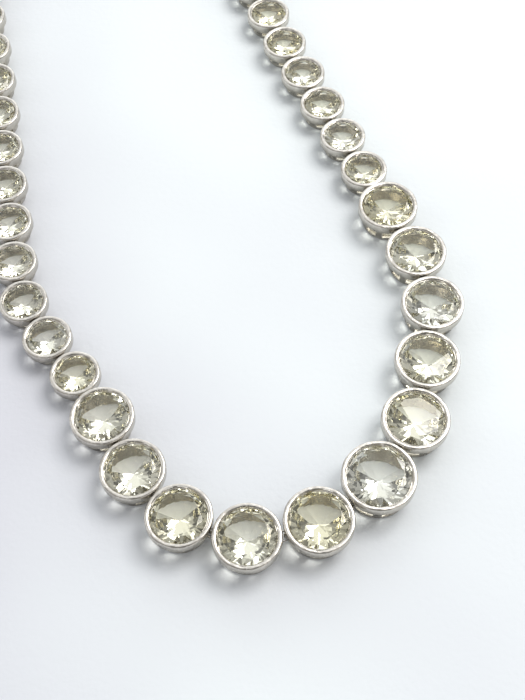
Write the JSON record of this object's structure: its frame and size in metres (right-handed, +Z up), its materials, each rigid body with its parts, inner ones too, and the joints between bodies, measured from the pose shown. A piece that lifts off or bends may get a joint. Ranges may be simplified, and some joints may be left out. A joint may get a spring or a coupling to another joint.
{
  "type": "riviere necklace",
  "caption": "Closed necklace of round faceted stones in open-backed metal collets, graduated to the centre front, linked by small rings and closed by a plain box clasp.",
  "frame": {"origin": "middle of the loop's bounding box, on the surface that the necklace lies on", "axes": "+Z up from that surface; +Y from the graduated front towards the clasp, the side away from the viewer; +X to the viewer's right"},
  "size_m": [0.0826, 0.1942, 0.0039],
  "materials": {
    "white_metal": "polished white metal, rims burnished by hand",
    "link_wire": "polished drawn wire",
    "stone": "clear faceted stone with a faint warm tint"
  },
  "bodies": {
    "root": {"setting_centre": "white_metal", "setting_left_1": "white_metal", "setting_left_2": "white_metal", "setting_left_3": "white_metal", "setting_left_4": "white_metal", "setting_left_5": "white_metal", "setting_right_1": "white_metal", "setting_right_2": "white_metal", "setting_right_3": "white_metal", "setting_right_4": "white_metal", "setting_right_5": "white_metal", "left_settings": "white_metal", "right_settings": "white_metal", "stone_centre": "stone", "stone_left_1": "stone", "stone_left_2": "stone", "stone_left_3": "stone", "stone_left_4": "stone", "stone_left_5": "stone", "stone_right_1": "stone", "stone_right_2": "stone", "stone_right_3": "stone", "stone_right_4": "stone", "stone_right_5": "stone", "left_stones": "stone", "right_stones": "stone", "front_links": "link_wire", "left_links": "link_wire", "right_links": "link_wire", "clasp": "white_metal"}
  },
  "joints": []
}
